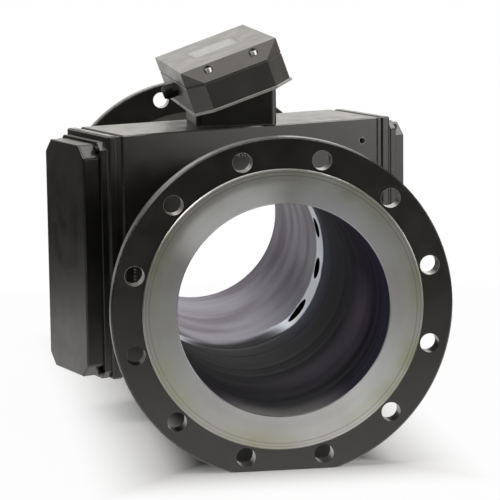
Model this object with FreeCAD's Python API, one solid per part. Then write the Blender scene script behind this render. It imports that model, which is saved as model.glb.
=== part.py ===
import FreeCAD, Part
import math
import os

# Ultrasonic gas meter, in millimetres. The flow runs along Y, Z is up, and the origin is the centre
# of the bore at mid-length. The sensor block and all it carries are drawn square, with their length
# along X, and are then turned about Z. The electronics head is drawn flat and is then tilted about Y.

# Pipe run
face_to_face = 900.0
bore_diameter = 285.5
tube_wall = 19.2

# Flanges, from the tube outwards: hub, bolt circle, rim
flange_thickness = 28.0
hub_swell = 15.5
flange_hub_length = 78.0
hub_straight = 8.0
hub_to_bolt_circle = 27.55
bolt_circle_to_rim = 25.0
raised_face_to_bolt_circle = 16.0
raised_face_height = 4.0
face_edge_break = 1.5
rim_chamfer = 2.0
bolt_hole_diameter = 26.0
bolt_count = 12
foot_cut = 12.0

# Sensor block
skew_angle = 20.0
block_end_margin = 53.05
block_width = 140.0
block_top_margin = 42.05
block_bottom_rise = 11.95
saddle_gap = 0.2
edge_break = 2.0

# Sensor ports, in rows one above the other, spread over a share of the bore
port_rows = 4
port_spread = 0.662
port_diameter = 32.0
seat_diameter = 44.0
seat_depth = 22.0

# Transducers
barrel_gap = 1.0
face_setback = 2.0
thread_gap = 0.3
collar_thickness = 8.0
tail_diameter = 24.0
tail_length = 31.0
pin_diameter = 12.0
pin_length = 16.0
face_chamfer = 2.0
nut_shoulder = 1.0
nut_head = 12.0
ring_section = 3.1
ring_groove_width = 4.2
ring_from_collar = 8.0

# Plugs and looms
plug_diameter = 20.0
plug_length = 22.0
plug_overlap = 14.0
plug_fit = 0.2
outlet_diameter = 10.0
outlet_reach = 2.0
loom_diameter = 12.0
branch_diameter = 7.0
loom_gap = 2.0
loom_roof_gap = 1.0
loom_bend = 24.0
channel_diameter = 18.0
riser_diameter = 36.0
riser_offset = 14.0
riser_bend = 18.0
loom_turn_rise = 20.0
loom_turn_bend = 60.0

# Side frames
gasket_thickness = 2.0
gasket_inset = 1.0
frame_thickness = 20.0
frame_rebate = 2.0
frame_rebate_length = 5.0
frame_side_rail = 20.0
frame_top_rail = 14.0
frame_bottom_rail = 20.0
window_radius = 8.0
frame_screw_rows = 4
frame_screw_edge = 10.0
frame_screw_margin = 40.0

# Covers. The left one is the deeper of the two.
cover_gasket_thickness = 2.0
cover_gasket_inset = 1.0
cover_flange_thickness = 10.0
cover_flange_margin = 4.0
cover_flange_corner = 12.0
cover_flange_edge = 1.0
cover_side_margin = 5.0
cover_top_margin = 12.0
cover_bottom_margin = 5.0
cover_heights = {"left": 26.0, "right": 17.0}
cover_wall = 5.0
cover_face_wall = 4.0
cover_edge_radius = 3.0
cover_screw_gap = 0.75

# Tapped hole on the front of the block
tapped_hole_diameter = 10.2
tapped_hole_depth = 24.0
tapped_hole_from_end = 27.0
tapped_hole_from_top = 34.0

# Neck. Its lower side is on the side of the cable gland.
neck_setback = 10.0
neck_low_height = 27.9
neck_wall = 6.0
neck_corner = 8.0
neck_floor = 10.0
neck_head_plate = 9.0
neck_opening_edge = 19.0
neck_screw_edge = 13.0

# Electronics head, in its own flat frame
head_tilt = 19.2
head_x = -4.0
head_y = 0.0
head_width = 146.0
head_length = 350.0
head_corner = 25.5
head_base_height = 41.7
head_wall = 4.0
head_floor = 6.0
lip_overhang = 2.5
lip_thickness = 4.0
lid_seal_thickness = 1.5
lid_seal_inset = 1.0
lid_height = 22.0
lid_roof = 4.0
lid_end_wall = 26.0
head_opening_edge = 28.0
head_screw_edge = 18.0
lid_screw_pitch = 69.0
lid_screw_from_end = 17.0
lid_screw_seat = 10.5
lid_screw_seat_diameter = 13.0
lid_boss_width = 16.0
lid_boss_length = 25.0

# Display, board and the pieces on it
glass_length = 92.0
glass_width = 72.0
glass_thickness = 3.0
glass_fit = 0.3
glass_ledge = 4.0
glass_offset = 5.0
display_border = 4.0
display_gap = 1.0
board_end_margin = 32.0
board_side_margin = 14.0
board_thickness = 1.6
standoff_height = 10.0
standoff_diameter = 8.0
standoff_margin = 9.0
terminal_length = 90.0
terminal_depth = 14.0
terminal_height = 16.0
battery_diameter = 33.0
battery_length = 61.0
battery_from_end = 40.0

# Cable gland on the low side of the head
gland_thread_diameter = 16.0
gland_hex_length = 6.0
gland_sleeve_length = 8.0
gland_cap_length = 15.0
gland_cap_wall = 2.0
gland_from_top = 12.7
gland_offset = -10.0
gland_inside_length = 10.0
cable_hole_diameter = 9.0
gland_seal_wall = 2.0
gland_fit = 0.2

# Screws: thread diameter, head diameter, head height and socket width
screw_sizes = {
    "M5": (5.0, 8.5, 5.0, 4.0),
    "M6": (6.0, 10.0, 6.0, 5.0),
    "M8": (8.0, 13.0, 8.0, 6.0),
}
screw_hole_gap = 0.5
screw_bite = 14.0
socket_share = 0.5
head_recess_gap = 1.0

# Two directions this close to parallel count as parallel
parallel_limit = 0.01

# Sizes that follow from those above
bore_radius = bore_diameter / 2
tube_radius = bore_radius + tube_wall
half_run = face_to_face / 2
hub_radius = tube_radius + hub_swell
bolt_circle_radius = hub_radius + hub_to_bolt_circle
rim_radius = bolt_circle_radius + bolt_circle_to_rim
raised_face_radius = bolt_circle_radius - raised_face_to_bolt_circle
half_block = tube_radius + block_end_margin
half_width = block_width / 2
block_top = tube_radius + block_top_margin
block_bottom = block_bottom_rise - tube_radius
skew = math.radians(skew_angle)
tilt = math.radians(head_tilt)
frame_start = half_block + gasket_thickness
frame_end = frame_start + frame_thickness
cover_start = frame_end + cover_gasket_thickness
cover_shoulder = cover_start + cover_flange_thickness
cover_half_width = half_width - cover_side_margin
cover_top = block_top - cover_top_margin
cover_bottom = block_bottom + cover_bottom_margin
cover_screw_room = screw_sizes["M5"][1] + 2 * cover_screw_gap
cover_corner = cover_flange_corner - 2 * cover_flange_margin + cover_screw_room * math.sqrt(2)
cover_screw_edge = cover_flange_corner / 2 + cover_screw_room / 2 / math.sqrt(2)
seat_floor = half_block - seat_depth
nut_start = seat_floor + collar_thickness
tail_end = nut_start + tail_length
pin_end = tail_end + pin_length
plug_start = pin_end - plug_overlap
loom_reach = plug_start + plug_length / 2
loom_offset = plug_diameter / 2 + outlet_reach + loom_gap + loom_diameter / 2
channel_height = cover_top - cover_wall - loom_roof_gap - loom_diameter / 2
nut_across_flats = seat_diameter + 2 * nut_shoulder
neck_base = block_top + gasket_thickness
neck_width = block_width - 2 * neck_setback
neck_opening = neck_width - 2 * neck_opening_edge
neck_screw_pitch = neck_width - 2 * neck_screw_edge
loom_turn_height = neck_base + loom_turn_rise
head_z = neck_base + neck_low_height + (neck_width / 2 + head_x) * math.tan(tilt)
head_opening = neck_width - 2 * head_opening_edge
head_screw_pitch = neck_width - 2 * head_screw_edge
lid_base = head_base_height + lid_seal_thickness
head_top = lid_base + lid_height
board_length = head_length - 2 * board_end_margin
board_width = head_width - 2 * board_side_margin
board_base = head_floor + standoff_height
board_top = board_base + board_thickness
gland_height = head_base_height - gland_from_top
gland_hex = gland_thread_diameter + 2 * gland_cap_wall
gland_seal_diameter = cable_hole_diameter + 2 * gland_seal_wall
neck_in_head_x = -head_x / math.cos(tilt)
neck_in_head_y = -head_y
sides = {"left": 180.0 + skew_angle, "right": skew_angle}


def point(x, y, z):
    return FreeCAD.Vector(x, y, z)


origin = point(0, 0, 0)
along_x = point(1, 0, 0)
along_y = point(0, 1, 0)
up = point(0, 0, 1)


def block(x_low, x_high, y_low, y_high, z_low, z_high):
    size = (x_high - x_low, y_high - y_low, z_high - z_low)
    return Part.makeBox(*size, point(x_low, y_low, z_low))


def rod(diameter, start, direction, length):
    return Part.makeCylinder(diameter / 2, length, start, direction)


def prism(corners, travel):
    return Part.Face(Part.makePolygon(corners + corners[:1])).extrude(travel)


def turned(outline, axis):
    """A solid of revolution from (distance along the axis, radius) pairs, about the X or the Y axis."""
    if axis == along_x:
        corners = [point(along, radius, 0) for along, radius in outline]
    else:
        corners = [point(radius, along, 0) for along, radius in outline]
    return Part.Face(Part.makePolygon(corners + corners[:1])).revolve(origin, axis, 360)


def hexagon(across_flats, x_start, length):
    """A hexagonal bar along X, with a flat at its top and at its bottom."""
    corner = across_flats / math.sqrt(3)
    angles = [math.radians(60 * k) for k in range(6)]
    corners = [point(x_start, corner * math.cos(a), corner * math.sin(a)) for a in angles]
    return prism(corners, point(length, 0, 0))


def moved(shape, x, y, z):
    result = shape.copy()
    result.translate(point(x, y, z))
    return result


def turned_about_z(shape, degrees):
    result = shape.copy()
    result.rotate(origin, up, degrees)
    return result


def on_head(shape):
    """Moves a shape from the head's flat frame to its place."""
    result = shape.copy()
    result.rotate(origin, along_y, -head_tilt)
    result.translate(point(head_x, head_y, head_z))
    return result


def save(name, *solids):
    shape = solids[0] if len(solids) == 1 else Part.makeCompound(list(solids))
    shape.exportStep("parts/" + name + ".step")


def socket_screw(size, shank_length):
    """A socket-head screw along X, with the seat of its head at the origin and its shank towards -X."""
    thread, head, height, socket = screw_sizes[size]
    screw = rod(head, origin, along_x, height)
    screw = screw.fuse(rod(thread, point(-shank_length, 0, 0), along_x, shank_length))
    depth = height * socket_share
    return screw.cut(hexagon(socket, height - depth, depth)).removeSplitter()


def screw_hole(size, x_start, length, y, z):
    return rod(screw_sizes[size][0] + screw_hole_gap, point(x_start, y, z), along_x, length)


def upright_hole(size, x, y, z_start, length):
    return rod(screw_sizes[size][0] + screw_hole_gap, point(x, y, z_start), up, length)


def port_heights():
    highest = port_spread * bore_radius
    pitch = 2 * highest / (port_rows - 1)
    return [row * pitch - highest for row in range(port_rows)]


def cover_screw_places():
    across = cover_half_width + cover_flange_margin - cover_screw_edge
    high = cover_top + cover_flange_margin - cover_screw_edge
    low = cover_bottom - cover_flange_margin + cover_screw_edge
    return [(y, z) for y in (-across, across) for z in (low, high)]


def frame_screw_places():
    across = half_width - frame_screw_edge
    low = block_bottom + frame_screw_margin
    step = (block_top - block_bottom - 2 * frame_screw_margin) / (frame_screw_rows - 1)
    return [(y, low + row * step) for y in (-across, across) for row in range(frame_screw_rows)]


def neck_screw_places():
    half = neck_screw_pitch / 2
    return [(x, y) for x in (-half, half) for y in (-half, half)]


def head_screw_places():
    half = head_screw_pitch / 2
    return [(neck_in_head_x + x, neck_in_head_y + y) for x in (-half, half) for y in (-half, half)]


def lid_screw_places():
    across = lid_screw_pitch / 2
    along = head_length / 2 - lid_screw_from_end
    return [(x, y) for x in (-across, across) for y in (-along, along)]


# Pipe run


def flange(facing):
    """A weld-neck flange. It faces -Y when facing is -1, and +Y when it is 1."""
    outline = [
        (face_edge_break, bore_radius),
        (0, bore_radius + face_edge_break),
        (0, raised_face_radius - face_edge_break),
        (face_edge_break, raised_face_radius),
        (raised_face_height, raised_face_radius),
        (raised_face_height, rim_radius - rim_chamfer),
        (raised_face_height + rim_chamfer, rim_radius),
        (flange_thickness - rim_chamfer, rim_radius),
        (flange_thickness, rim_radius - rim_chamfer),
        (flange_thickness, hub_radius),
        (flange_hub_length - hub_straight, tube_radius),
        (flange_hub_length, tube_radius),
        (flange_hub_length, bore_radius),
    ]
    solid = turned([(facing * (half_run - along), radius) for along, radius in outline], along_y)
    face = facing * half_run
    back = facing * (half_run - flange_thickness)
    low_y = min(face, back)
    for k in range(bolt_count):
        angle = 2 * math.pi * (k + 0.5) / bolt_count
        x = bolt_circle_radius * math.cos(angle)
        z = bolt_circle_radius * math.sin(angle)
        solid = solid.cut(rod(bolt_hole_diameter, point(x, low_y, z), along_y, flange_thickness))
    foot = foot_cut - rim_radius
    below = block(-rim_radius, rim_radius, -half_run, half_run, -rim_radius, foot)
    return solid.cut(below)


def port_holes(diameter):
    """The sensor ports of both sides, drilled from the middle of the bore to the ends of the block."""
    holes = []
    for degrees in sides.values():
        for height in port_heights():
            hole = rod(diameter, point(0, 0, height), along_x, half_block)
            holes.append(turned_about_z(hole, degrees))
    return holes


def measuring_tube():
    half = half_run - flange_hub_length
    solid = rod(2 * tube_radius, point(0, -half, 0), along_y, 2 * half)
    solid = solid.cut(rod(bore_diameter, point(0, -half, 0), along_y, 2 * half))
    return solid.cut(port_holes(port_diameter))


# Sensor block


def loom_channel():
    """The drilled way for one loom: in from the end of the block, then up to its top."""
    riser_top = block_top - channel_height
    channel = rod(channel_diameter, point(riser_offset, loom_offset, channel_height), along_x, half_block)
    riser = rod(riser_diameter, point(riser_offset, loom_offset, channel_height), up, riser_top)
    return channel.fuse(riser)


def sensor_block():
    solid = block(-half_block, half_block, -half_width, half_width, block_bottom, block_top)
    solid = solid.makeChamfer(edge_break, solid.Edges)
    saddle = rod(2 * (tube_radius + saddle_gap), point(0, -half_run, 0), along_y, face_to_face)
    cutters = [turned_about_z(saddle, -skew_angle)]
    for degrees in (0, 180):
        cutters.append(turned_about_z(loom_channel(), degrees))
        for height in port_heights():
            bore = rod(port_diameter, point(0, 0, height), along_x, half_block)
            seat = rod(seat_diameter, point(seat_floor, 0, height), along_x, seat_depth)
            cutters.append(turned_about_z(bore.fuse(seat), degrees))
        for y, z in frame_screw_places():
            hole = screw_hole("M8", half_block - screw_bite, screw_bite, y, z)
            cutters.append(turned_about_z(hole, degrees))
    for x, y in neck_screw_places():
        hole = upright_hole("M8", x, y, block_top - screw_bite, screw_bite)
        cutters.append(turned_about_z(hole, -skew_angle))
    mouth = point(half_block - tapped_hole_from_end, -half_width, block_top - tapped_hole_from_top)
    cutters.append(rod(tapped_hole_diameter, mouth, along_y, tapped_hole_depth))
    return turned_about_z(solid.cut(cutters), skew_angle)


# Side frames


def edges_along(shape, direction):
    """The straight edges of a shape that run along a direction."""
    return [
        edge for edge in shape.Edges
        if edge.tangentAt(edge.FirstParameter).cross(direction).Length < parallel_limit
    ]


def frame_window(x_start, length):
    low = block_bottom + frame_bottom_rail
    high = block_top - frame_top_rail
    half = half_width - frame_side_rail
    opening = block(x_start, x_start + length, -half, half, low, high)
    return opening.makeFillet(window_radius, edges_along(opening, along_x))


def plate(x_start, length, inset):
    """A plate of the block's section, drawn in by an inset all round."""
    half = half_width - inset
    return block(x_start, x_start + length, -half, half, block_bottom + inset, block_top - inset)


def side_frame():
    solid = plate(frame_start + frame_rebate_length, frame_thickness - frame_rebate_length, 0)
    solid = solid.makeChamfer(edge_break, solid.Edges)
    solid = solid.fuse(plate(frame_start, frame_rebate_length, frame_rebate))
    solid = solid.cut(frame_window(frame_start, frame_thickness))
    recess_width = screw_sizes["M8"][1] + head_recess_gap
    recess = screw_sizes["M8"][2] + head_recess_gap
    for y, z in frame_screw_places():
        solid = solid.cut(screw_hole("M8", frame_start, frame_thickness, y, z))
        solid = solid.cut(rod(recess_width, point(frame_end - recess, y, z), along_x, recess))
    for y, z in cover_screw_places():
        solid = solid.cut(screw_hole("M5", frame_end - screw_bite, screw_bite, y, z))
    return solid


def frame_gasket():
    solid = plate(half_block, gasket_thickness, frame_rebate + gasket_inset)
    solid = solid.cut(frame_window(half_block, gasket_thickness))
    for y, z in frame_screw_places():
        solid = solid.cut(screw_hole("M8", half_block, gasket_thickness, y, z))
    return solid


def frame_screws():
    seat = frame_end - screw_sizes["M8"][2] - head_recess_gap
    screw = socket_screw("M8", seat - half_block + screw_bite - head_recess_gap)
    places = frame_screw_places()
    return [turned_about_z(moved(screw, seat, y, z), turn) for turn in sides.values() for y, z in places]


# Covers


def cut_corner_plate(x_start, length, inset, corner):
    """A plate of the cover's outline, drawn in by an inset all round, with its four corners cut off."""
    half = cover_half_width - inset
    low = cover_bottom + inset
    high = cover_top - inset
    cut = corner - inset * (2 - math.sqrt(2))
    corners = [
        (-half, low + cut),
        (-half + cut, low),
        (half - cut, low),
        (half, low + cut),
        (half, high - cut),
        (half - cut, high),
        (-half + cut, high),
        (-half, high - cut),
    ]
    return prism([point(x_start, y, z) for y, z in corners], point(length, 0, 0))


def crown_plate(x_start, length, inset):
    return cut_corner_plate(x_start, length, inset, cover_corner)


def flange_plate(x_start, length, inset):
    corner = cover_flange_corner - cover_flange_margin * (2 - math.sqrt(2))
    return cut_corner_plate(x_start, length, inset - cover_flange_margin, corner)


def cover(height):
    cover_end = cover_shoulder + height
    crown = crown_plate(cover_start, cover_end - cover_start, 0)
    rim = [edge for edge in crown.Edges if edge.BoundBox.XMin > cover_end - cover_edge_radius]
    crown = crown.makeFillet(cover_edge_radius, rim)
    base = flange_plate(cover_start, cover_flange_thickness, 0)
    base = base.makeChamfer(cover_flange_edge, base.Edges)
    hollow = crown_plate(cover_start, cover_end - cover_start - cover_face_wall, cover_wall)
    solid = base.fuse(crown).cut(hollow)
    for y, z in cover_screw_places():
        solid = solid.cut(screw_hole("M5", cover_start, cover_flange_thickness, y, z))
    return solid.removeSplitter()


def cover_gasket():
    solid = flange_plate(frame_end, cover_gasket_thickness, cover_gasket_inset)
    solid = solid.cut(crown_plate(frame_end, cover_gasket_thickness, cover_wall))
    for y, z in cover_screw_places():
        solid = solid.cut(screw_hole("M5", frame_end, cover_gasket_thickness, y, z))
    return solid


def cover_screws():
    grip = cover_flange_thickness + cover_gasket_thickness
    screw = socket_screw("M5", grip + screw_bite - head_recess_gap)
    seated = [moved(screw, cover_shoulder, y, z) for y, z in cover_screw_places()]
    return [turned_about_z(one, turn) for turn in sides.values() for one in seated]


# Transducers


def transducer_face(height):
    """How far out the face of a transducer sits, so that none of it stands in the flow."""
    radius = (port_diameter - barrel_gap) / 2
    nearest = max(abs(height) - radius, 0)
    wall = math.sqrt(bore_radius ** 2 - nearest ** 2)
    return (wall + radius * math.sin(skew)) / math.cos(skew) + face_setback


def transducer(height):
    barrel = (port_diameter - barrel_gap) / 2
    collar = seat_diameter / 2 - thread_gap
    face = transducer_face(height)
    groove_end = seat_floor - ring_from_collar
    groove_floor = port_diameter / 2 - ring_section
    outline = [
        (face, 0),
        (face, barrel - face_chamfer),
        (face + face_chamfer, barrel),
        (groove_end - ring_groove_width, barrel),
        (groove_end - ring_groove_width, groove_floor),
        (groove_end, groove_floor),
        (groove_end, barrel),
        (seat_floor, barrel),
        (seat_floor, collar),
        (nut_start, collar),
        (nut_start, tail_diameter / 2),
        (tail_end, tail_diameter / 2),
        (tail_end, pin_diameter / 2),
        (pin_end, pin_diameter / 2),
        (pin_end, 0),
    ]
    return moved(turned(outline, along_x), 0, 0, height)


def gland_nut(height):
    start = point(nut_start, 0, 0)
    buried = half_block - nut_start
    spigot = rod(seat_diameter - 2 * thread_gap, start, along_x, buried)
    solid = hexagon(nut_across_flats, half_block, nut_head).fuse(spigot)
    hole = rod(tail_diameter + 2 * thread_gap, start, along_x, buried + nut_head)
    return moved(solid.cut(hole), 0, 0, height)


def seal_ring(height):
    section = ring_section / 2
    place = seat_floor - ring_from_collar - ring_groove_width / 2
    ring = Part.makeTorus(port_diameter / 2 - section, section, point(place, 0, 0), along_x)
    return moved(ring, 0, 0, height)


def plug(height):
    """A right-angled plug on the tail of a transducer, with its outlet towards the loom."""
    solid = rod(plug_diameter, point(plug_start, 0, 0), along_x, plug_length)
    reach = plug_diameter / 2 + outlet_reach
    solid = solid.fuse(rod(outlet_diameter, point(loom_reach, 0, 0), along_y, reach))
    socket = rod(pin_diameter + 2 * plug_fit, point(plug_start, 0, 0), along_x, plug_overlap + plug_fit)
    return moved(solid.cut(socket), 0, 0, height)


# Looms


def bent_tube(stations, diameter):
    """A round tube through (point, bend radius) stations, straight between bends."""
    edges = []
    start = stations[0][0]
    for k in range(1, len(stations) - 1):
        corner, radius = stations[k]
        before = (corner - stations[k - 1][0]).normalize()
        after = (stations[k + 1][0] - corner).normalize()
        turn = before.getAngle(after)
        run = radius * math.tan(turn / 2)
        enter = corner - before * run
        leave = corner + after * run
        inward = (after - before).normalize()
        middle = corner + inward * (radius / math.cos(turn / 2) - radius)
        edges.append(Part.LineSegment(start, enter).toShape())
        edges.append(Part.Arc(enter, middle, leave).toShape())
        start = leave
    edges.append(Part.LineSegment(start, stations[-1][0]).toShape())
    first = (stations[1][0] - stations[0][0]).normalize()
    ring = Part.Wire(Part.makeCircle(diameter / 2, stations[0][0], first))
    return Part.Wire(edges).makePipeShell([ring], True, False)


def loom(degrees):
    """One side's sheathed wiring: up past its plugs, in along the channel, up the neck to the board."""
    lowest = port_heights()[0]

    def place(x, y, z):
        spin = math.radians(degrees)
        return point(x * math.cos(spin) - y * math.sin(spin), x * math.sin(spin) + y * math.cos(spin), z)

    turn_point = place(riser_offset, loom_offset, loom_turn_height)
    lean = point(-math.sin(tilt), 0, math.cos(tilt))
    head_floor_point = point(head_x, head_y, head_z)
    climb = board_base - (turn_point - head_floor_point).dot(lean)
    stations = [
        (place(loom_reach, loom_offset, lowest - loom_diameter / 2), 0),
        (place(loom_reach, loom_offset, channel_height), loom_bend),
        (place(riser_offset, loom_offset, channel_height), riser_bend),
        (turn_point, loom_turn_bend),
        (turn_point + lean * climb, 0),
    ]
    solid = bent_tube(stations, loom_diameter)
    outlet = plug_diameter / 2 + outlet_reach
    for height in port_heights():
        branch = rod(branch_diameter, point(loom_reach, outlet, height), along_y, loom_offset - outlet)
        solid = solid.fuse(turned_about_z(branch, degrees))
    return solid.removeSplitter()


# Neck


def slab_above(offset):
    """Everything above the head's underside, moved along the head's own upright by an offset."""
    reach = face_to_face / 2
    return on_head(block(-reach, reach, -reach, reach, offset, offset + reach))


def square_tube(width, corner, z_low, z_high):
    half = width / 2
    solid = block(-half, half, -half, half, z_low, z_high)
    return solid.makeFillet(corner, edges_along(solid, up))


def neck():
    tall = head_z + neck_width
    solid = square_tube(neck_width, neck_corner, neck_base, tall).cut(slab_above(-gasket_thickness))
    inner_width = neck_width - 2 * neck_wall
    hollow = square_tube(inner_width, neck_corner - neck_wall, neck_base + neck_floor, tall)
    solid = solid.cut(hollow.cut(slab_above(-gasket_thickness - neck_head_plate)))
    floor_hole = square_tube(neck_opening, neck_corner, neck_base, neck_base + neck_floor)
    solid = solid.cut(floor_hole)
    solid = solid.cut(on_head(head_hole(-neck_head_plate - gasket_thickness, neck_head_plate)))
    for x, y in neck_screw_places():
        solid = solid.cut(upright_hole("M8", x, y, neck_base, neck_floor))
    plate_low = -gasket_thickness - neck_head_plate
    for x, y in head_screw_places():
        solid = solid.cut(on_head(upright_hole("M8", x, y, plate_low, neck_head_plate)))
    return solid


def neck_gasket():
    solid = square_tube(neck_width, neck_corner, block_top, neck_base)
    solid = solid.cut(square_tube(neck_opening, neck_corner, block_top, neck_base))
    for x, y in neck_screw_places():
        solid = solid.cut(upright_hole("M8", x, y, block_top, gasket_thickness))
    return solid


def upright_screw(size, shank_length):
    screw = socket_screw(size, shank_length)
    screw.rotate(origin, along_y, -90)
    return screw


def neck_screws():
    screw = upright_screw("M8", neck_floor + gasket_thickness + screw_bite - head_recess_gap)
    return [moved(screw, x, y, neck_base + neck_floor) for x, y in neck_screw_places()]


# Electronics head


def head_outline(height, inset):
    """The head's long outline with its corners cut off, drawn in by an inset all round."""
    across = head_width / 2 - inset
    along = head_length / 2 - inset
    cut = head_corner - inset * (2 - math.sqrt(2))
    corners = [
        (across, along - cut),
        (across - cut, along),
        (-across + cut, along),
        (-across, along - cut),
        (-across, -along + cut),
        (-across + cut, -along),
        (across - cut, -along),
        (across, -along + cut),
    ]
    return [point(x, y, height) for x, y in corners]


def head_hole(z_low, length):
    half = head_opening / 2
    x, y = neck_in_head_x, neck_in_head_y
    return block(x - half, x + half, y - half, y + half, z_low, z_low + length)


def gland_place():
    return point(-head_width / 2, gland_offset, gland_height)


def head_base():
    solid = prism(head_outline(0, 0), point(0, 0, head_base_height))
    solid = solid.fuse(prism(head_outline(0, -lip_overhang), point(0, 0, lip_thickness)))
    hollow = prism(head_outline(head_floor, head_wall), point(0, 0, head_base_height))
    for x, y in lid_screw_places():
        end = math.copysign(head_length / 2, y)
        start = end - math.copysign(lid_boss_length, y)
        half = lid_boss_width / 2
        boss = block(x - half, x + half, min(start, end), max(start, end), 0, head_base_height)
        hollow = hollow.cut(boss)
    solid = solid.cut(hollow).cut(head_hole(0, head_floor))
    for x, y in lid_screw_places():
        solid = solid.cut(upright_hole("M6", x, y, head_base_height - screw_bite, screw_bite))
    for x, y in head_screw_places():
        solid = solid.cut(upright_hole("M8", x, y, 0, head_floor))
    entry = gland_place()
    solid = solid.cut(rod(gland_thread_diameter + gland_fit, entry, along_x, head_wall))
    return on_head(solid)


def head_gasket():
    """A sheet between the neck and the head, of the neck's own slanting section."""
    tall = head_z + neck_width
    sheet = square_tube(neck_width, neck_corner, neck_base, tall)
    sheet = sheet.cut(slab_above(0)).common(slab_above(-gasket_thickness))
    sheet = sheet.cut(on_head(head_hole(-gasket_thickness, gasket_thickness)))
    for x, y in head_screw_places():
        sheet = sheet.cut(on_head(upright_hole("M8", x, y, -gasket_thickness, gasket_thickness)))
    return sheet


def head_screws():
    screw = upright_screw("M8", head_floor + gasket_thickness + neck_head_plate)
    return [on_head(moved(screw, x, y, head_floor)) for x, y in head_screw_places()]


def lid_roof_slope(end_inset, top_height, low_height):
    """A long prism with both ends sloping up to the roof at the slope of the head's corners."""
    along_low = head_length / 2 - end_inset
    along_high = along_low - head_corner * (top_height - low_height) / lid_height
    half = head_width / 2
    corners = [
        point(-half, -along_low, low_height),
        point(-half, along_low, low_height),
        point(-half, along_high, top_height),
        point(-half, -along_high, top_height),
    ]
    return prism(corners, point(head_width, 0, 0))


def glass_block(border, z_low, z_high):
    half_x = glass_width / 2 + border
    half_y = glass_length / 2 + border
    return block(-half_x, half_x, glass_offset - half_y, glass_offset + half_y, z_low, z_high)


def head_lid():
    solid = prism(head_outline(lid_base, 0), point(0, 0, lid_height))
    solid = solid.common(lid_roof_slope(0, head_top, lid_base))
    hollow = prism(head_outline(lid_base, head_wall), point(0, 0, lid_height - lid_roof))
    hollow = hollow.common(lid_roof_slope(lid_end_wall, head_top - lid_roof, lid_base))
    solid = solid.cut(hollow)
    solid = solid.cut(glass_block(glass_fit, head_top - glass_thickness, head_top))
    solid = solid.cut(glass_block(-glass_ledge, lid_base, head_top))
    for x, y in lid_screw_places():
        seat = point(x, y, lid_base + lid_screw_seat)
        solid = solid.cut(rod(lid_screw_seat_diameter, seat, up, lid_height))
        solid = solid.cut(upright_hole("M6", x, y, lid_base, lid_height))
    return on_head(solid)


def lid_seal():
    ring = prism(head_outline(head_base_height, lid_seal_inset), point(0, 0, lid_seal_thickness))
    ring = ring.cut(prism(head_outline(head_base_height, head_wall), point(0, 0, lid_seal_thickness)))
    for x, y in lid_screw_places():
        ring = ring.cut(upright_hole("M6", x, y, head_base_height, lid_seal_thickness))
    return on_head(ring)


def lid_screws():
    screw = upright_screw("M6", lid_screw_seat + lid_seal_thickness + screw_bite - head_recess_gap)
    return [on_head(moved(screw, x, y, lid_base + lid_screw_seat)) for x, y in lid_screw_places()]


# Inside the head


def main_board():
    half_x = board_width / 2
    half_y = board_length / 2
    return on_head(block(-half_x, half_x, -half_y, half_y, board_base, board_top))


def board_standoffs():
    x = board_width / 2 - standoff_margin
    y = board_length / 2 - standoff_margin
    feet = [point(a, b, head_floor) for a in (-x, x) for b in (-y, y)]
    return [on_head(rod(standoff_diameter, foot, up, standoff_height)) for foot in feet]


def display_module():
    top = head_top - lid_roof - display_gap
    return on_head(glass_block(display_border, board_top, top))


def terminal_block():
    x = -board_width / 2
    half = terminal_length / 2
    top = board_top + terminal_height
    return on_head(block(x, x + terminal_depth, -half, half, board_top, top))


def battery_pack():
    y = board_length / 2 - battery_from_end
    start = point(-battery_length / 2, y, board_top + battery_diameter / 2)
    return on_head(rod(battery_diameter, start, along_x, battery_length))


# Cable gland


def gland_body():
    entry = gland_place()
    thread = gland_thread_diameter - gland_fit
    solid = moved(hexagon(gland_hex, -gland_hex_length, gland_hex_length), entry.x, entry.y, entry.z)
    outside = gland_hex_length + gland_sleeve_length
    start = point(entry.x - outside, entry.y, entry.z)
    solid = solid.fuse(rod(thread, start, along_x, outside + gland_inside_length))
    seal_room = rod(gland_seal_diameter, start, along_x, gland_sleeve_length)
    solid = solid.cut(rod(cable_hole_diameter, start, along_x, outside + gland_inside_length))
    return on_head(solid.cut(seal_room))


def gland_seal():
    entry = gland_place()
    start = point(entry.x - gland_hex_length - gland_sleeve_length, entry.y, entry.z)
    ring = rod(gland_seal_diameter - gland_fit, start, along_x, gland_sleeve_length)
    return on_head(ring.cut(rod(cable_hole_diameter, start, along_x, gland_sleeve_length)))


def gland_cap():
    entry = gland_place()
    near = entry.x - gland_hex_length
    far = near - gland_cap_length
    outer = gland_hex / 2
    lip = gland_cap_wall
    inner = gland_thread_diameter / 2
    outline = [
        (near, inner),
        (near, outer),
        (far + 2 * lip, outer),
        (far, outer - lip),
        (far, cable_hole_diameter / 2 + gland_fit),
        (near - gland_sleeve_length - gland_fit, cable_hole_diameter / 2 + gland_fit),
        (near - gland_sleeve_length - gland_fit, inner),
    ]
    return on_head(moved(turned(outline, along_x), 0, entry.y, entry.z))


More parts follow.
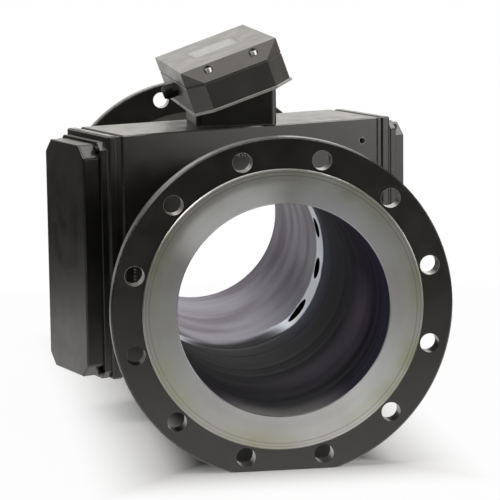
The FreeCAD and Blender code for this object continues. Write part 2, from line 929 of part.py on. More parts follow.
def build():
    os.makedirs("parts", exist_ok=True)
    save("front_flange", flange(-1))
    save("rear_flange", flange(1))
    save("measuring_tube", measuring_tube())
    save("sensor_block", sensor_block())
    save("frame_screws", *frame_screws())
    save("cover_screws", *cover_screws())
    for side, degrees in sides.items():
        save(side + "_side_frame", turned_about_z(side_frame(), degrees))
        save(side + "_frame_gasket", turned_about_z(frame_gasket(), degrees))
        save(side + "_cover", turned_about_z(cover(cover_heights[side]), degrees))
        save(side + "_cover_gasket", turned_about_z(cover_gasket(), degrees))
        save(side + "_loom", loom(degrees))
        heights = port_heights()
        for row, height in enumerate(heights):
            save(side + "_transducer_" + str(row + 1), turned_about_z(transducer(height), degrees))
        save(side + "_gland_nuts", *[turned_about_z(gland_nut(height), degrees) for height in heights])
        save(side + "_seal_rings", *[turned_about_z(seal_ring(height), degrees) for height in heights])
        save(side + "_plugs", *[turned_about_z(plug(height), degrees) for height in heights])
    save("neck", neck())
    save("neck_gasket", neck_gasket())
    save("neck_screws", *neck_screws())
    save("head_base", head_base())
    save("head_gasket", head_gasket())
    save("head_screws", *head_screws())
    save("head_lid", head_lid())
    save("lid_seal", lid_seal())
    save("lid_screws", *lid_screws())
    save("display_window", on_head(glass_block(0, head_top - glass_thickness, head_top)))
    save("display_module", display_module())
    save("main_board", main_board())
    save("board_standoffs", *board_standoffs())
    save("terminal_block", terminal_block())
    save("battery_pack", battery_pack())
    save("cable_gland_body", gland_body())
    save("cable_gland_seal", gland_seal())
    save("cable_gland_cap", gland_cap())


build()
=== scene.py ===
import math

import bmesh
import bpy
from mathutils import Matrix, Vector


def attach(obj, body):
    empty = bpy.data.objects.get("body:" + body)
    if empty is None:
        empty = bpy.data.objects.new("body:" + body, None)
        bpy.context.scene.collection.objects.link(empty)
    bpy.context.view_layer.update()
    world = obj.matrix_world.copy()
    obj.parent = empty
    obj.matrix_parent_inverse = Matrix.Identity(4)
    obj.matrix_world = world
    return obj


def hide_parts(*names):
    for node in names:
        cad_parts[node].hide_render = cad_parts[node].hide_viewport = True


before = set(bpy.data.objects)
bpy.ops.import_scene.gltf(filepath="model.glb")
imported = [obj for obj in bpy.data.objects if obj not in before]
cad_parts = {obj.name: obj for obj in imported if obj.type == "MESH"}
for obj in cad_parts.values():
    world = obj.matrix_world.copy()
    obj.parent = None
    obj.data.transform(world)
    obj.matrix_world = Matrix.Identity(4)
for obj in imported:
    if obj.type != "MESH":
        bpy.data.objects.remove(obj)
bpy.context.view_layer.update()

# Sizes of the meter that the looks depend on, in metres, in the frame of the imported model
HALF_RUN = 0.450
BORE_RADIUS = 0.14275
TUBE_RADIUS = 0.16195
RAISED_FACE_RADIUS = 0.189
RAISED_FACE_STEP = 0.004
RIM_RADIUS = 0.230
RIM_MIDDLE = HALF_RUN - 0.016
BOLT_COUNT = 12
BOLT_CIRCLE_RADIUS = 0.205
BOLT_HOLE_RADIUS = 0.013
HUB_LENGTH = 0.078
FLOOR_HEIGHT = -0.218
SKEW = math.radians(20.0)
BLOCK_HALF_LENGTH = 0.215
BLOCK_HALF_WIDTH = 0.070
BLOCK_TOP = 0.204
BLOCK_BOTTOM = -0.150
TAPPED_HOLE_ALONG = 0.188
TAPPED_HOLE_HEIGHT = 0.170
TAPPED_HOLE_RADIUS = 0.0051
THREAD_PITCH = 0.00175
THREAD_END = (-0.0602, -0.0610)
COVER_OUTER_FACE = 0.2655
HEAD_TILT = math.radians(19.2)
HEAD_PLACE = Vector((-0.004, 0.0, 0.253401))
ON_HEAD = Matrix.Translation(HEAD_PLACE) @ Matrix.Rotation(-HEAD_TILT, 4, "Y")
FROM_HEAD = ON_HEAD.inverted()
HEAD_SIDE = 0.0725
HEAD_CUT_CORNER = 0.2220
LIP_THICKNESS = 0.004
LID_SLOPE_START = 0.1490
GLAND_CAP = Vector((-0.0845, -0.010, 0.029))
GLAND_CAP_RADIUS = 0.010

# Sizes of the pieces that are added
RIPPLE_STEP = 0.0012
POINTS_PER_RIPPLE = 4
BEAD_STEPS = 180
HUB_BEAD_RADIUS = 0.0038
HUB_BEAD_SINK = 0.0018
SADDLE_BEAD_RADIUS = 0.0050
GRIP_RIBS = 22
GRIP_RIB_SIZE = (0.0012, 0.0013, 0.0100)
DISPLAY_CENTRE = (0.0, 0.005, 0.0608)
DISPLAY_SIZE = (0.078, 0.098, 0.0010)
BEZEL_WIDTH = 0.010
LEAST_CORNER_TURN = math.radians(15)

# How near to an edge the paint is worn, and how far past a surface its finish still reaches
EDGE_WEAR = (0.0022, 0.0008)
SKIN = 0.0005
THIN_SKIN = 0.0004
SKIN_FADE = 0.0003

# Light: the two sides of the room that are bright in reflections, and the colour of the lamps
BRIGHT_BACK = Vector((0.25, 0.97, 0.0))
BRIGHT_FRONT_RIGHT = Vector((0.76, -0.65, 0.0))
UP = Vector((0.0, 0.0, 1.0))
WARM_WHITE = (1.0, 0.975, 0.945, 1.0)
POOL_MIDDLE = -0.12
FLOOR_REACH = 40.0

PAINT_IOR = 1.6
MOULDING_IOR = 1.48
GLASS_IOR = 1.5
# Colour of thin dust, also used as painted light on faces that look up
DUST_AND_TOP_LIGHT = (0.125, 0.117, 0.109, 1.0)
TARNISH = (0.30, 0.31, 0.20, 1.0)


# Shorthand for node trees


class Nodes:
    """Short calls for the nodes of one tree."""

    def __init__(self, tree):
        self.tree = tree

    def add(self, kind, inputs=None, **settings):
        node = self.tree.nodes.new(kind)
        for name, value in settings.items():
            setattr(node, name, value)
        for socket, value in (inputs or {}).items():
            self.feed(node.inputs[socket], value)
        return node

    def feed(self, socket, value):
        if isinstance(value, bpy.types.NodeSocket):
            self.tree.links.new(value, socket)
        else:
            socket.default_value = value

    def maths(self, operation, a, b=0.0, c=0.0):
        return self.add("ShaderNodeMath", {0: a, 1: b, 2: c}, operation=operation).outputs[0]

    def times(self, a, b):
        return self.maths("MULTIPLY", a, b)

    def minus(self, a, b):
        return self.maths("SUBTRACT", a, b)

    def larger(self, a, b):
        return self.maths("MAXIMUM", a, b)

    def unsigned(self, a):
        return self.maths("ABSOLUTE", a)

    def weighed(self, a, a_share, b, b_share):
        """The sum of two values, each times its share."""
        return self.maths("MULTIPLY_ADD", a, a_share, self.times(b, b_share))

    def length(self, a, b):
        """How far a point at a and b is from the origin."""
        return self.maths("POWER", self.weighed(a, a, b, b), 0.5)

    def fade(self, value, start, end, low=0.0, high=1.0, kind="SMOOTHSTEP"):
        """Goes from low to high while the value goes from start to end."""
        inputs = {"Value": value, 1: start, 2: end, 3: low, 4: high}
        return self.add("ShaderNodeMapRange", inputs, interpolation_type=kind).outputs["Result"]

    def seen(self):
        """1 where the camera looks straight or through glass."""
        path = self.add("ShaderNodeLightPath").outputs
        return self.larger(path["Is Camera Ray"], path["Is Transmission Ray"])

    def either(self, share, first, second):
        """Mixes two shaders."""
        return self.add("ShaderNodeMixShader", {0: share, 1: first, 2: second}).outputs[0]


class Finish(Nodes):
    """One material, with short calls for the patterns that it is made of."""

    def __init__(self, name, **shader_values):
        self.material = bpy.data.materials.new(name)
        self.material.use_nodes = True
        super().__init__(self.material.node_tree)
        self.shader = self.tree.nodes["Principled BSDF"]
        for socket, value in shader_values.items():
            self.set(socket.replace("_", " "), value)
        self.place = self.add("ShaderNodeTexCoord").outputs["Object"]

    def set(self, socket, value):
        self.feed(self.shader.inputs[socket], value)

    def close(self, colour, roughness, normal=None):
        """Sets what nearly every finish has, and gives the material."""
        self.set("Base Color", colour)
        self.set("Roughness", roughness)
        if normal is not None:
            self.set("Normal", normal)
        return self.material

    def speckle(self, scale, detail=3.0, at=None):
        inputs = {"Vector": at or self.place, "Scale": scale, "Detail": detail}
        return self.add("ShaderNodeTexNoise", inputs).outputs["Fac"]

    def lines(self, along, scale, detail):
        """Noise that changes along one value only, as tool marks do."""
        inputs = {"W": along, "Scale": scale, "Detail": detail}
        return self.add("ShaderNodeTexNoise", inputs, noise_dimensions="1D").outputs["Fac"]

    def up_to(self, value, limit, skin=SKIN):
        """1 up to a limit and a skin's depth past it, then 0."""
        return self.fade(value, limit + skin, limit + skin - SKIN_FADE)

    def near_edge(self, value, edge):
        """1 close to an edge and beyond it, 0 before it."""
        return self.fade(value, edge - EDGE_WEAR[0], edge - EDGE_WEAR[1])

    def mix(self, share, first, second):
        return self.add("ShaderNodeMix", {0: share, 2: first, 3: second}).outputs[0]

    def blend(self, share, first, second, kind="MIX"):
        """Mixes two colours."""
        inputs = {0: share, 6: first, 7: second}
        return self.add("ShaderNodeMix", inputs, data_type="RGBA", blend_type=kind).outputs[2]

    def shades(self, position, stops):
        """A colour that changes along a position, from (position, colour) stops."""
        ramp = self.add("ShaderNodeValToRGB", {"Fac": position})
        ramp.color_ramp.interpolation = "EASE"
        points = ramp.color_ramp.elements
        while len(points) < len(stops):
            points.new(0.5)
        for point, (place, colour) in zip(points, stops):
            point.position = place
            point.color = colour
        return ramp.outputs["Color"]

    def relief(self, height, depth, below=None):
        inputs = {"Height": height, "Distance": depth}
        if below is not None:
            inputs["Normal"] = below
        return self.add("ShaderNodeBump", inputs).outputs["Normal"]

    def stretched(self, x, y, z):
        """Object coordinates, scaled along each axis, for streaks."""
        return self.add("ShaderNodeMapping", {"Vector": self.place, "Scale": (x, y, z)}).outputs["Vector"]

    def axes(self, of=None):
        parts = self.add("ShaderNodeSeparateXYZ", {"Vector": of or self.place}).outputs
        return parts["X"], parts["Y"], parts["Z"]

    def block_axes(self):
        """Distances along the sensor block's length and through its width, and the height."""
        x, y, z = self.axes()
        far = self.weighed(x, math.cos(SKEW), y, math.sin(SKEW))
        through = self.weighed(y, math.cos(SKEW), x, -math.sin(SKEW))
        return far, through, z

    def upward(self):
        """How far a surface faces up, from 0 to 1."""
        normal = self.add("ShaderNodeNewGeometry").outputs["Normal"]
        return self.fade(self.axes(normal)[2], 0.3, 0.95)


def grey(value, warm=0.0):
    return (value * (1 + warm), value, value * (1 - warm), 1.0)


# Finishes


def paint_layers(finish, dark, light):
    """Colour, roughness and relief of satin black paint, lighter on what faces up: thin dust and painted
    light from above.
    """
    colour = finish.blend(finish.fade(finish.speckle(9.0, 4.0), 0.35, 0.7), dark, light)
    # Faces that look up go lighter: thin dust, and painted light from above.
    dust_and_top_light = finish.fade(finish.speckle(60.0, 6.0), 0.2, 0.8, 0.3, 0.5)
    colour = finish.blend(finish.times(finish.upward(), dust_and_top_light), colour, DUST_AND_TOP_LIGHT)
    rub = finish.fade(finish.speckle(35.0, 5.0), 0.3, 0.75, 0.29, 0.38)
    fine = finish.relief(finish.speckle(650.0, 2.0), 0.00003)
    peel = finish.relief(finish.speckle(28.0, 2.0), 0.00012, fine)
    return colour, rub, peel


def satin_black(name, dark, light):
    finish = Finish(name, IOR=PAINT_IOR)
    return finish.close(*paint_layers(finish, dark, light))


def worn_edges(finish, far, through, height):
    """Near 1 on the edges of the sensor block, where two of its sides meet."""
    end = finish.near_edge(finish.unsigned(far), BLOCK_HALF_LENGTH)
    side = finish.near_edge(finish.unsigned(through), BLOCK_HALF_WIDTH)
    top = finish.near_edge(height, BLOCK_TOP)
    along_side = finish.weighed(end, side, side, top)
    return finish.maths("MULTIPLY_ADD", end, top, along_side)


def block_finish(name):
    """Black paint, worn thin here and there along the edges, and bare threads in the tapped hole."""
    finish = Finish(name, IOR=PAINT_IOR)
    far, through, height = finish.block_axes()
    colour, rub, peel = paint_layers(finish, grey(0.013, 0.06), grey(0.020, 0.07))
    chips = finish.fade(finish.speckle(130.0, 5.0), 0.52, 0.62, 0.0, 0.7)
    worn = finish.times(worn_edges(finish, far, through, height), chips)
    colour = finish.blend(worn, colour, grey(0.10, 0.04))

    across = finish.minus(far, TAPPED_HOLE_ALONG)
    rise = finish.minus(height, TAPPED_HOLE_HEIGHT)
    hole = finish.up_to(finish.length(across, rise), TAPPED_HOLE_RADIUS, THIN_SKIN)
    hole = finish.times(hole, finish.fade(through, *THREAD_END))
    thread = finish.maths("SINE", finish.times(through, 2 * math.pi / THREAD_PITCH))
    threads = finish.relief(finish.times(thread, hole), 0.0005, peel)
    finish.set("Metallic", hole)
    return finish.close(finish.blend(hole, colour, grey(0.42)), finish.mix(hole, rub, 0.34), threads)


def head_finish(name):
    """Black paint, with a light grey, part-metal colour along the lip at the bottom of the head: a painted
    highlight.
    """
    finish = Finish(name, IOR=PAINT_IOR)
    colour, rub, peel = paint_layers(finish, grey(0.056, 0.06), grey(0.074, 0.07))
    placed = {"Vector": finish.place, "Location": HEAD_PLACE, "Rotation": (0.0, -HEAD_TILT, 0.0)}
    on_head = finish.add("ShaderNodeMapping", placed, vector_type="TEXTURE").outputs["Vector"]
    # The lip gets a light grey, part-metal colour: a painted highlight along the bottom of the head.
    lip = finish.up_to(finish.axes(on_head)[2], LIP_THICKNESS, THIN_SKIN)
    painted_lip_highlight = finish.blend(finish.speckle(45.0, 5.0), grey(0.34, 0.02), grey(0.52, 0.02))
    finish.set("Metallic", finish.times(lip, 0.3))
    return finish.close(finish.blend(lip, colour, painted_lip_highlight), finish.mix(lip, rub, 0.45), peel)


def bare_face(finish, x, z, radius):
    """Turned steel of a raised face: broad rings, fine tool marks and tarnish, with a painted bright outer
    edge, painted shade in two thin grooves, at both sides and at the lower left, and a painted highlight at
    the upper left.
    """
    across = finish.fade(radius, BORE_RADIUS, RAISED_FACE_RADIUS, kind="LINEAR")
    # The rings go light grey at the outer edge: a painted edge highlight.
    rings = finish.shades(across, (
        (0.00, grey(0.34)), (0.06, grey(0.51)), (0.30, grey(0.48, -0.01)), (0.55, grey(0.54, -0.01)),
        (0.85, grey(0.52, 0.01)), (0.95, grey(0.62, 0.02)), (1.00, grey(0.76)),
    ))
    # Two thin dark rings: painted shade in grooves that the shape doesn't have.
    painted_groove_shade = finish.shades(across, (
        (0.775, grey(0.0)), (0.81, grey(0.5)), (0.84, grey(0.0)),
        (0.885, grey(0.0)), (0.91, grey(0.6)), (0.935, grey(0.0)),
    ))
    tool = finish.lines(radius, 700.0, 4.0)
    colour = finish.blend(finish.fade(tool, 0.3, 0.7, 0.0, 0.22), rings, grey(0.26))
    cloud = finish.fade(finish.speckle(8.0, 3.0), 0.40, 0.65, 0.0, 0.5)
    colour = finish.blend(cloud, colour, (0.64, 0.67, 0.70, 1.0))

    def towards(degrees):
        """1 at one place round the ring, down to -1 at the opposite place."""
        turn = math.radians(degrees)
        return finish.maths("DIVIDE", finish.weighed(x, math.cos(turn), z, math.sin(turn)), radius)

    # Painted shade: darker towards both sides and towards the lower left.
    sideways = finish.maths("POWER", towards(0), 2.0)
    colour = finish.blend(finish.fade(sideways, 0.2, 1.0, 0.0, 0.38), colour, grey(0.27))
    colour = finish.blend(finish.fade(towards(225), 0.1, 0.9, 0.0, 0.45), colour, grey(0.22))
    # A painted highlight at the upper left.
    painted_highlight = finish.fade(towards(120), 0.82, 0.98, 0.0, 0.9)
    painted_highlight = finish.times(painted_highlight, finish.fade(radius, 0.178, 0.165))
    colour = finish.blend(painted_highlight, colour, (0.97, 0.99, 1.0, 1.0))
    stain = finish.fade(finish.speckle(13.0, 4.0), 0.30, 0.75, 0.1, 0.8)
    stain = finish.times(stain, finish.fade(radius, 0.152, 0.180))
    colour = finish.blend(stain, colour, TARNISH)
    # Painted shade in the two thin grooves.
    colour = finish.blend(painted_groove_shade, colour, grey(0.17, 0.05))
    rub = finish.fade(tool, 0.3, 0.7, 0.34, 0.46)
    return colour, rub, finish.relief(tool, 0.00012)


def washed_lining(finish, wash, dark, light, lines, line_colour):
    """A lining that is washed between two colours, with lines of a third one round the bore."""
    washed = finish.blend(finish.fade(wash, 0.35, 0.65), dark, light)
    return finish.blend(lines, washed, line_colour)


def front_lining(finish, x, along, height, low, off_band, wash, tool):
    """Colour in front of the ports, and the painted shade on its colour and gloss, darkest on the left and
    lighter near the band. It has a painted bluish sheen near the band, painted light low at the mouth and a
    painted purple sheen low on the right."""
    # Masks for a painted bluish sheen near the band and for painted light low at the bore's mouth.
    painted_blue_sheen = finish.times(finish.fade(off_band, -0.13, -0.03), finish.fade(height, -0.143, -0.090))
    edge = finish.times(finish.fade(along, -0.33, -0.42), low)
    # Painted shade on colour and gloss: darker in front of the ports, darkest on the left, lighter near the
    # band and none low at the mouth.
    painted_shade = finish.blend(painted_blue_sheen, (0.42, 0.41, 0.50, 1.0), (0.86, 0.91, 1.0, 1.0))
    painted_shade = finish.blend(finish.fade(x, 0.0, -0.07), painted_shade, grey(0.30))
    painted_shade = finish.blend(edge, painted_shade, grey(1.0))
    colour = washed_lining(
        finish, wash, (0.028, 0.031, 0.082, 1.0), (0.085, 0.052, 0.120, 1.0),
        finish.fade(tool, 0.45, 0.75, 0.0, 0.5), (0.064, 0.066, 0.108, 1.0),
    )
    # The painted bluish sheen and the painted light at the mouth, in the colour.
    colour = finish.blend(painted_blue_sheen, colour, (0.27, 0.33, 0.55, 1.0))
    colour = finish.blend(edge, colour, (0.34, 0.33, 0.33, 1.0))
    colour = finish.blend(1.0, colour, painted_shade, "MULTIPLY")
    # A painted purple sheen low on the right.
    stripe = finish.unsigned(finish.maths("MULTIPLY_ADD", wash, 0.08, finish.maths("ADD", along, 0.23)))
    painted_purple_sheen = finish.times(finish.fade(stripe, 0.085, 0.01), finish.fade(x, -0.03, 0.09))
    painted_purple_sheen = finish.times(painted_purple_sheen, finish.fade(height, 0.03, -0.05))
    return finish.blend(painted_purple_sheen, colour, (0.56, 0.48, 0.62, 1.0)), painted_shade


def bore_lining(finish, x, along, height):
    """A dark lining, rough up to the sensor ports and smoother behind them, ground bare in a band through
    the ports. Gives its colour, roughness, share of metal and the painted shade on its gloss in front of
    the ports."""
    through = finish.block_axes()[1]
    low = finish.fade(height, -0.105, -0.142)
    ragged = finish.maths("MULTIPLY_ADD", finish.speckle(30.0, 3.0), 0.014, 0.001)
    off_band = finish.maths("MULTIPLY_ADD", low, -0.035, finish.maths("ADD", through, ragged))
    behind = finish.fade(off_band, -0.006, 0.022)
    wash = finish.speckle(6.0, 3.0, finish.stretched(1.0, 2.5, 1.0))
    tool = finish.lines(along, 60.0, 5.0)
    front, painted_shade = front_lining(finish, x, along, height, low, off_band, wash, tool)
    rear = washed_lining(
        finish, wash, (0.026, 0.027, 0.085, 1.0), (0.095, 0.058, 0.130, 1.0),
        finish.fade(tool, 0.35, 0.7, 0.0, 0.4), (0.075, 0.078, 0.130, 1.0),
    )
    band = finish.fade(finish.unsigned(off_band), 0.0310, 0.0215)
    band = finish.times(band, finish.fade(height, -0.138, -0.112))
    ground = finish.blend(finish.speckle(180.0, 3.0), (0.62, 0.67, 0.76, 1.0), (0.82, 0.87, 0.96, 1.0))
    colour = finish.blend(band, finish.blend(behind, front, rear), ground)
    rough = finish.fade(tool, 0.3, 0.7, 0.60, 0.75)
    smooth = finish.fade(wash, 0.35, 0.65, 0.38, 0.50)
    rub = finish.mix(band, finish.mix(behind, rough, smooth), 0.36)
    metallic = finish.mix(band, finish.times(behind, 0.6), 0.8)
    # The painted shade stays in front of the ports; behind them and in the band the gloss is left as it is.
    painted_shade = finish.blend(finish.larger(behind, band), painted_shade, grey(1.0))
    return colour, rub, metallic, painted_shade


def bolt_hole_walls(finish, x, z, radius):
    """Near 1 on the walls of the flanges' bolt holes."""
    pitch = 2 * math.pi / BOLT_COUNT
    turn = finish.times(finish.maths("ARCTAN2", z, x), 1 / pitch)
    off_hole = finish.times(finish.minus(finish.maths("FRACT", turn), 0.5), pitch)
    sideways = finish.times(finish.maths("SINE", off_hole), radius)
    outwards = finish.times(finish.maths("COSINE", off_hole), radius)
    outwards = finish.minus(outwards, BOLT_CIRCLE_RADIUS)
    return finish.up_to(finish.length(sideways, outwards), BOLT_HOLE_RADIUS)


def pipe_finish(name):
    """Black paint outside, bare turned steel on the raised faces, bare steel on the upper bolt holes' walls
    as painted light, fading to black paint as painted shade in the lower ones, and a dark lining in the
    bore."""
    finish = Finish(name, IOR=PAINT_IOR)
    x, y, z = finish.axes()
    radius = finish.length(x, z)
    depth = finish.unsigned(y)
    colour, rub, peel = paint_layers(finish, grey(0.008, 0.06), grey(0.013, 0.07))
    chips = finish.fade(finish.speckle(110.0, 5.0), 0.5, 0.62, 0.0, 0.7)
    rim_side = finish.fade(finish.unsigned(finish.minus(depth, RIM_MIDDLE)), 0.0092, 0.0104)
    rim = finish.times(finish.near_edge(radius, RIM_RADIUS), rim_side)
    colour = finish.blend(finish.times(rim, chips), colour, grey(0.12, 0.04))
    # Bare steel on the bolt-hole walls fades out below mid-height: painted light on the upper walls,
    # painted shade in the lower ones.
    painted_light_hole_walls = finish.times(bolt_hole_walls(finish, x, z, radius), finish.fade(z, -0.06, 0.03))
    drilled_steel = finish.blend(finish.speckle(90.0, 4.0), grey(0.40, 0.03), grey(0.66, 0.02))
    colour = finish.blend(painted_light_hole_walls, colour, drilled_steel)

    # The bare face is everything forward of the flange's front and inside the raised edge.
    flange_front = HALF_RUN - RAISED_FACE_STEP
    forward = finish.fade(depth, flange_front + 0.0002, flange_front + 0.0006)
    face = finish.times(forward, finish.up_to(radius, RAISED_FACE_RADIUS))
    steel, steel_rub, marks = bare_face(finish, x, z, radius)
    colour = finish.blend(face, colour, steel)
    bare = finish.larger(face, painted_light_hole_walls)
    rub = finish.mix(bare, rub, steel_rub)
    relief = finish.add("ShaderNodeMix", {0: bare, 4: peel, 5: marks}, data_type="VECTOR").outputs[1]

    bore = finish.up_to(radius, BORE_RADIUS)
    lining, lining_rub, lining_metallic, lining_painted_shade = bore_lining(finish, x, y, z)
    # The lining's painted shade darkens the gloss in front of the ports.
    finish.set("Specular Tint", finish.blend(bore, grey(1.0), lining_painted_shade))
    outside = finish.times(bare, finish.minus(1.0, bore))
    finish.set("Metallic", finish.maths("ADD", outside, finish.times(bore, lining_metallic)))
    return finish.close(finish.blend(bore, colour, lining), finish.mix(bore, rub, lining_rub), relief)


def metal(name, dark, light, roughness, grain):
    """Bare or plated metal with fine handling marks."""
    finish = Finish(name, Metallic=1.0)
    marks = finish.speckle(grain, 5.0)
    colour = finish.blend(finish.fade(marks, 0.3, 0.7), dark, light)
    rub = finish.fade(marks, 0.3, 0.75, roughness, roughness + 0.14)
    return finish.close(colour, rub, finish.relief(finish.speckle(grain * 6, 2.0), 0.00003))


def moulded(name, dark, light, roughness, grain):
    """Moulded plastic or rubber with a fine texture from its mould."""
    finish = Finish(name, IOR=MOULDING_IOR)
    colour = finish.blend(finish.fade(finish.speckle(40.0, 4.0), 0.3, 0.7), dark, light)
    rub = finish.fade(finish.speckle(90.0, 4.0), 0.3, 0.7, roughness, roughness + 0.12)
    return finish.close(colour, rub, finish.relief(finish.speckle(grain, 3.0), 0.00005))


def window_glass():
    finish = Finish("clear_window_glass", IOR=GLASS_IOR, Transmission_Weight=1.0)
    rub = finish.fade(finish.speckle(50.0, 5.0), 0.40, 0.80, 0.04, 0.10)
    return finish.close(grey(0.93, -0.01), rub)


def display_face():
    finish = Finish("display_face", IOR=GLASS_IOR)
    cells = finish.speckle(1500.0, 1.0)
    colour = finish.blend(cells, (0.065, 0.068, 0.060, 1.0), (0.085, 0.088, 0.078, 1.0))
    return finish.close(colour, finish.fade(finish.speckle(60.0, 3.0), 0.3, 0.7, 0.40, 0.50))


def board_laminate():
    """Green laminate with a glass weave and wide tracks under its varnish."""
    finish = Finish("board_laminate", IOR=GLASS_IOR)
    threads = {"Vector": finish.place, "Scale": 180.0, "Distortion": 1.5, "Detail": 2.0}
    weave = finish.add("ShaderNodeTexWave", threads).outputs["Fac"]
    cells = {"Vector": finish.stretched(1.0, 0.4, 1.0), "Scale": 90.0}
    tracks = finish.add("ShaderNodeTexVoronoi", cells, distance="CHEBYCHEV").outputs["Distance"]
    line = finish.fade(tracks, 0.28, 0.32)
    colour = finish.blend(weave, (0.010, 0.090, 0.035, 1.0), (0.014, 0.120, 0.045, 1.0))
    colour = finish.blend(line, colour, (0.02, 0.17, 0.07, 1.0))
    return finish.close(colour, finish.fade(weave, 0.0, 1.0, 0.35, 0.5), finish.relief(line, 0.00003))


def ribbed_sheath():
    finish = Finish("loom_sheath", IOR=MOULDING_IOR)
    threads = {"Vector": finish.place, "Scale": 160.0, "Distortion": 0.5}
    plait = finish.add("ShaderNodeTexWave", threads, bands_direction="DIAGONAL").outputs["Fac"]
    rub = finish.fade(finish.speckle(70.0), 0.3, 0.7, 0.5, 0.65)
    return finish.close(finish.blend(plait, grey(0.010), grey(0.028)), rub, finish.relief(plait, 0.0003))


def floor_finish():
    """White for the camera and in glass, with the real shade close to the object and a dark painted shadow
    right under it. In glossy paint it shows as a pool of light round the object, and as a bright floor
    behind and to the front right."""
    finish = Finish("pale_floor", Roughness=0.9, Specular_IOR_Level=0.0)
    x, y = finish.axes()[:2]

    def outside(half_width, half_length):
        """Distance out of a rectangle round the origin, below 0 inside it."""
        beside = finish.minus(finish.unsigned(x), half_width)
        beyond = finish.minus(finish.unsigned(y), half_length)
        return finish.larger(beside, beyond)

    def glow(colour, strength):
        return finish.add("ShaderNodeEmission", {"Color": colour, "Strength": strength}).outputs[0]

    # A painted shadow: the floor's colour goes dark right under the object, and no white is added there.
    painted_shadow_under = finish.fade(outside(0.115, 0.40), 0.05, -0.02)
    away = finish.length(x, finish.minus(y, POOL_MIDDLE))
    finish.set("Base Color", finish.blend(painted_shadow_under, grey(0.86), grey(0.08)))

    clear = finish.fade(outside(0.14, 0.43), -0.02, 0.14, 0.15, 0.96)
    clear = finish.larger(clear, finish.fade(away, 0.5, 1.2))
    clear = finish.times(clear, finish.minus(1.0, painted_shadow_under))

    behind = finish.maths("MULTIPLY_ADD", finish.maths("MINIMUM", x, 0.0), 0.9, y)
    behind = finish.maths("MULTIPLY_ADD", finish.larger(x, 0.0), -0.15, behind)
    ahead = finish.weighed(x, BRIGHT_FRONT_RIGHT.x, y, BRIGHT_FRONT_RIGHT.y)
    aside = finish.weighed(x, -BRIGHT_FRONT_RIGHT.y, y, BRIGHT_FRONT_RIGHT.x)
    front_right = finish.maths("MULTIPLY_ADD", finish.unsigned(aside), -1.5, ahead)
    pool = finish.fade(away, 1.50, 0.80, 0.0, 1.2)
    pool = finish.larger(pool, finish.fade(behind, 0.5, 1.5, 0.03, 0.95))
    pool = finish.larger(pool, finish.fade(front_right, 0.2, 1.3, 0.03, 0.95))

    plain = finish.shader.outputs[0]
    in_gloss = finish.add("ShaderNodeLightPath").outputs["Is Glossy Ray"]
    unseen = finish.either(in_gloss, plain, glow(WARM_WHITE, pool))
    shaded = finish.either(clear, plain, glow(grey(1.0), 1.0))
    surface = finish.tree.nodes["Material Output"].inputs["Surface"]
    finish.feed(surface, finish.either(finish.seen(), unseen, shaded))
    finish.material.cycles.emission_sampling = "NONE"
    return finish.material


PAINT = block_finish("block_satin_black")
WELD_PAINT = satin_black("weld_satin_black", grey(0.010, 0.06), grey(0.018, 0.07))
FRAME_PAINT = satin_black("frame_satin_black", grey(0.012, 0.06), grey(0.018, 0.07))
COVER_PAINT = satin_black("cover_satin_black", grey(0.005, 0.05), grey(0.009, 0.06))
HEAD_PAINT = head_finish("head_satin_black")
PIPE = pipe_finish("pipe_paint_and_bare_steel")
SENSOR_STEEL = metal("sensor_steel", grey(0.38), grey(0.52), 0.28, 70.0)
NUT_STEEL = metal("nut_steel", grey(0.34), grey(0.46, 0.02), 0.34, 90.0)
SCREW_STEEL = metal("bright_screw_steel", grey(0.84), grey(0.95), 0.46, 140.0)
BLACK_SCREW_STEEL = metal("black_screw_steel", grey(0.035, 0.04), grey(0.060, 0.04), 0.36, 140.0)
STANDOFF_BRASS = metal("standoff_brass", (0.50, 0.36, 0.12, 1.0), (0.62, 0.46, 0.18, 1.0), 0.28, 120.0)
RUBBER = moulded("seal_rubber", grey(0.050), grey(0.072), 0.48, 500.0)
PLASTIC = moulded("black_plastic", grey(0.010), grey(0.018), 0.42, 700.0)
GLAND_PLASTIC = moulded("gland_plastic", grey(0.012), grey(0.022), 0.40, 700.0)
SLEEVE = moulded("battery_sleeve", (0.02, 0.05, 0.11, 1.0), (0.03, 0.07, 0.15, 1.0), 0.30, 300.0)
SHEATH = ribbed_sheath()
GLASS = window_glass()
DISPLAY = display_face()
BOARD = board_laminate()

SLOT_FINISHES = {
    "body_paint": PAINT,
    "cover_paint": COVER_PAINT,
    "head_paint": HEAD_PAINT,
    "sensor_metal": SENSOR_STEEL,
    "nut_metal": NUT_STEEL,
    "screw_metal": SCREW_STEEL,
    "seal_rubber": RUBBER,
    "black_plastic": PLASTIC,
    "loom_sheath": SHEATH,
    "window_glass": GLASS,
    "board_laminate": BOARD,
    "standoff_metal": STANDOFF_BRASS,
    "battery_sleeve": SLEEVE,
    "gland_plastic": GLAND_PLASTIC,
}
OWN_FINISHES = {
    "front_flange": PIPE,
    "rear_flange": PIPE,
    "measuring_tube": PIPE,
    "cover_screws": BLACK_SCREW_STEEL,
}


def finish_cad_nodes():
    for name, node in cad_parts.items():
        slot = node.data.materials[0].name
        node.data.materials[0] = OWN_FINISHES.get(name) or SLOT_FINISHES[slot]


finish_cad_nodes()


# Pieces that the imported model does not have, and softened copies


def add_object(name, data):
    thing = bpy.data.objects.new(name, data)
    bpy.context.scene.collection.objects.link(thing)
    return thing


def add_piece(name, mesh):
    piece = add_object(name, mesh)
    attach(piece, "root")
    return piece


def finished_mesh(maker, name):
    """The plain mesh of an object with its modifiers done. The object itself is taken away."""
    graph = bpy.context.evaluated_depsgraph_get()
    mesh = bpy.data.meshes.new_from_object(maker.evaluated_get(graph))
    bpy.data.objects.remove(maker)
    mesh.name = name
    return mesh


